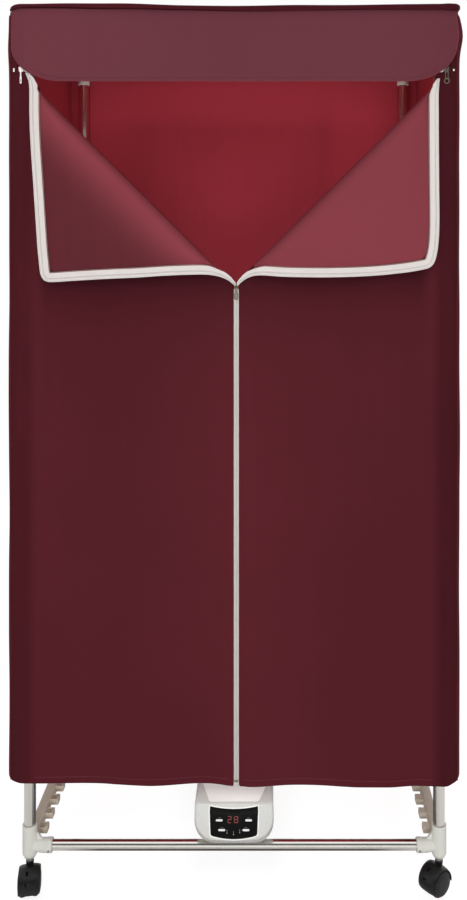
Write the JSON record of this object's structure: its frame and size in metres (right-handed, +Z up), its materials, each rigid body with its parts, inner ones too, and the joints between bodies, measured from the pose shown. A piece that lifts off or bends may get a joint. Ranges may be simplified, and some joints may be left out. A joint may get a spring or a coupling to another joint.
{
  "type": "portable clothes dryer",
  "caption": "Castored tube-frame clothes dryer with a zipped cloth cover, folding front corners, hanging rods and a fan heater with a control panel in the base.",
  "frame": {"origin": "on the floor under the middle of the outer box", "axes": "+Z up, the front with its zip and control panel faces -Y, +X to the right of someone facing the front"},
  "size_m": [0.752, 0.4916, 1.479],
  "materials": {
    "board_green": "green circuit board",
    "button_plastic": "silver grey satin",
    "castor_plastic": "black moulded",
    "connector_plastic": "off-white moulded, faint sheen",
    "cover_cloth": "dark wine coated cloth",
    "dark_plastic": "dark grey",
    "element_metal": "finned heater block",
    "flap_cloth": "wine cloth seen from its lighter side",
    "heater_plastic": "white satin moulded",
    "lining_cloth": "crimson inner side",
    "motor_steel": "pressed steel can",
    "panel_gloss": "black high gloss",
    "rail_plastic": "beige moulded",
    "steel_tube": "bright plated tube",
    "valance_cloth": "dusty wine coated cloth",
    "zip_coil": "off-white coil and tape",
    "zip_metal": "worn bright metal"
  },
  "bodies": {
    "frame": {"air_outlet_grille": "dark_plastic", "base_connector_front_left": "connector_plastic", "base_connector_front_right": "connector_plastic", "base_connector_rear_left": "connector_plastic", "base_connector_rear_right": "connector_plastic", "base_rail_front": "steel_tube", "base_rail_rear": "steel_tube", "base_side_rail_left": "rail_plastic", "base_side_rail_right": "rail_plastic", "circuit_board": "board_green", "control_panel": "panel_gloss", "cover_back": "lining_cloth", "cover_side_left": "cover_cloth", "cover_side_right": "cover_cloth", "cover_top": "valance_cloth", "fan_motor": "motor_steel", "hanging_rod_front": "steel_tube", "hanging_rod_rear": "steel_tube", "heater_lower_shell": "heater_plastic", "heater_upper_shell": "heater_plastic", "heating_element": "element_metal", "post_front_left": "steel_tube", "post_front_right": "steel_tube", "post_rear_left": "steel_tube", "post_rear_right": "steel_tube", "power_inlet": "dark_plastic", "top_connector_front_left": "connector_plastic", "top_connector_front_right": "connector_plastic", "top_connector_rear_left": "connector_plastic", "top_connector_rear_right": "connector_plastic", "top_rail_front": "steel_tube", "top_rail_rear": "steel_tube", "top_side_rail_left": "rail_plastic", "top_side_rail_right": "rail_plastic"},
    "castor_front_left": {"castor_housing_front_left": "castor_plastic"},
    "wheels_front_left": {"castor_wheels_front_left": "castor_plastic"},
    "castor_rear_left": {"castor_housing_rear_left": "castor_plastic"},
    "wheels_rear_left": {"castor_wheels_rear_left": "castor_plastic"},
    "castor_front_right": {"castor_housing_front_right": "castor_plastic"},
    "wheels_front_right": {"castor_wheels_front_right": "castor_plastic"},
    "castor_rear_right": {"castor_housing_rear_right": "castor_plastic"},
    "wheels_rear_right": {"castor_wheels_rear_right": "castor_plastic"},
    "fan": {"fan_impeller": "dark_plastic"},
    "button_upper_left": {"button_upper_left": "button_plastic"},
    "button_upper_right": {"button_upper_right": "button_plastic"},
    "button_lower_left": {"button_lower_left": "button_plastic"},
    "button_lower_right": {"button_lower_right": "button_plastic"},
    "door_left": {"front_panel_left": "cover_cloth"},
    "door_right": {"front_panel_right": "cover_cloth", "zip_chain": "zip_coil"},
    "flap_left": {"front_flap_left": "flap_cloth"},
    "flap_right": {"front_flap_right": "flap_cloth"},
    "valance": {"valance": "valance_cloth"},
    "centre_slider": {"zip_slider_centre": "zip_metal"},
    "centre_pull": {"zip_pull_centre": "zip_metal"},
    "top_slider_left": {"zip_slider_left": "zip_metal"},
    "top_pull_left": {"zip_pull_left": "zip_metal"},
    "top_slider_right": {"zip_slider_right": "zip_metal"},
    "top_pull_right": {"zip_pull_right": "zip_metal"}
  },
  "joints": [
    {"name": "castor_swivel_front_left", "type": "hinge", "parent": "frame", "child": "castor_front_left", "pos_m": [-0.343, -0.20873, 0.0565], "axis": [0, 0, 1], "continuous": true},
    {"name": "castor_roll_front_left", "type": "hinge", "parent": "castor_front_left", "child": "wheels_front_left", "pos_m": [-0.34126, -0.21858, 0.02181], "axis": [0.9848, 0.1736, 0], "continuous": true},
    {"name": "castor_swivel_rear_left", "type": "hinge", "parent": "frame", "child": "castor_rear_left", "pos_m": [-0.343, 0.21727, 0.0565], "axis": [0, 0, 1], "continuous": true},
    {"name": "castor_roll_rear_left", "type": "hinge", "parent": "castor_rear_left", "child": "wheels_rear_left", "pos_m": [-0.343, 0.20727, 0.02181], "axis": [1, 0, 0], "continuous": true},
    {"name": "castor_swivel_front_right", "type": "hinge", "parent": "frame", "child": "castor_front_right", "pos_m": [0.343, -0.20873, 0.0565], "axis": [0, 0, 1], "continuous": true},
    {"name": "castor_roll_front_right", "type": "hinge", "parent": "castor_front_right", "child": "wheels_front_right", "pos_m": [0.33534, -0.21516, 0.02181], "axis": [0.6428, -0.766, 0], "continuous": true},
    {"name": "castor_swivel_rear_right", "type": "hinge", "parent": "frame", "child": "castor_rear_right", "pos_m": [0.343, 0.21727, 0.0565], "axis": [0, 0, 1], "continuous": true},
    {"name": "castor_roll_rear_right", "type": "hinge", "parent": "castor_rear_right", "child": "wheels_rear_right", "pos_m": [0.343, 0.20727, 0.02181], "axis": [1, 0, 0], "continuous": true},
    {"name": "fan_spin", "type": "hinge", "parent": "frame", "child": "fan", "pos_m": [0, 0.07456, 0.1182], "axis": [0, 0, 1], "continuous": true},
    {"name": "button_press_upper_left", "type": "slide", "parent": "frame", "child": "button_upper_left", "axis": [0, 0.9903, -0.1392], "range_m": [0, 0.001], "stiffness_N_per_m": 300, "springref_m": -0.0005},
    {"name": "button_press_upper_right", "type": "slide", "parent": "frame", "child": "button_upper_right", "axis": [0, 0.9903, -0.1392], "range_m": [0, 0.001], "stiffness_N_per_m": 300, "springref_m": -0.0005},
    {"name": "button_press_lower_left", "type": "slide", "parent": "frame", "child": "button_lower_left", "axis": [0, 0.9903, -0.1392], "range_m": [0, 0.001], "stiffness_N_per_m": 300, "springref_m": -0.0005},
    {"name": "button_press_lower_right", "type": "slide", "parent": "frame", "child": "button_lower_right", "axis": [0, 0.9903, -0.1392], "range_m": [0, 0.001], "stiffness_N_per_m": 300, "springref_m": -0.0005},
    {"name": "door_left_open", "type": "hinge", "parent": "frame", "child": "door_left", "pos_m": [-0.337, -0.23073, 0.8], "axis": [0, 0, -1], "range_deg": [0, 100]},
    {"name": "door_right_open", "type": "hinge", "parent": "frame", "child": "door_right", "pos_m": [0.337, -0.23073, 0.8], "axis": [0, 0, 1], "range_deg": [0, 100]},
    {"name": "flap_unfold_left", "type": "hinge", "parent": "door_left", "child": "flap_left", "pos_m": [-0.16665, -0.23088, 1.1805], "axis": [-0.7106, 0, 0.7036], "range_deg": [0, 178]},
    {"name": "flap_unfold_right", "type": "hinge", "parent": "door_right", "child": "flap_right", "pos_m": [0.16665, -0.23088, 1.1805], "axis": [-0.7106, 0, -0.7036], "range_deg": [0, 178]},
    {"name": "valance_lift", "type": "hinge", "parent": "frame", "child": "valance", "pos_m": [0, -0.23723, 1.4692], "axis": [-1, 0, 0], "range_deg": [0, 110]},
    {"name": "centre_zip_slide", "type": "slide", "parent": "door_right", "child": "centre_slider", "axis": [0, 0, -1], "range_m": [0, 0.81]},
    {"name": "centre_pull_swing", "type": "hinge", "parent": "centre_slider", "child": "centre_pull", "pos_m": [0.004, -0.23493, 1.0132], "axis": [-1, 0, 0], "range_deg": [0, 120]},
    {"name": "top_zip_slide_left", "type": "slide", "parent": "frame", "child": "top_slider_left", "axis": [1, 0, 0], "range_m": [0, 0.34]},
    {"name": "top_pull_swing_left", "type": "hinge", "parent": "top_slider_left", "child": "top_pull_left", "pos_m": [-0.3515, -0.23393, 1.37005], "axis": [-1, 0, 0], "range_deg": [0, 70]},
    {"name": "top_zip_slide_right", "type": "slide", "parent": "frame", "child": "top_slider_right", "axis": [-1, 0, 0], "range_m": [0, 0.34]},
    {"name": "top_pull_swing_right", "type": "hinge", "parent": "top_slider_right", "child": "top_pull_right", "pos_m": [0.3515, -0.23393, 1.37005], "axis": [-1, 0, 0], "range_deg": [0, 70]}
  ]
}
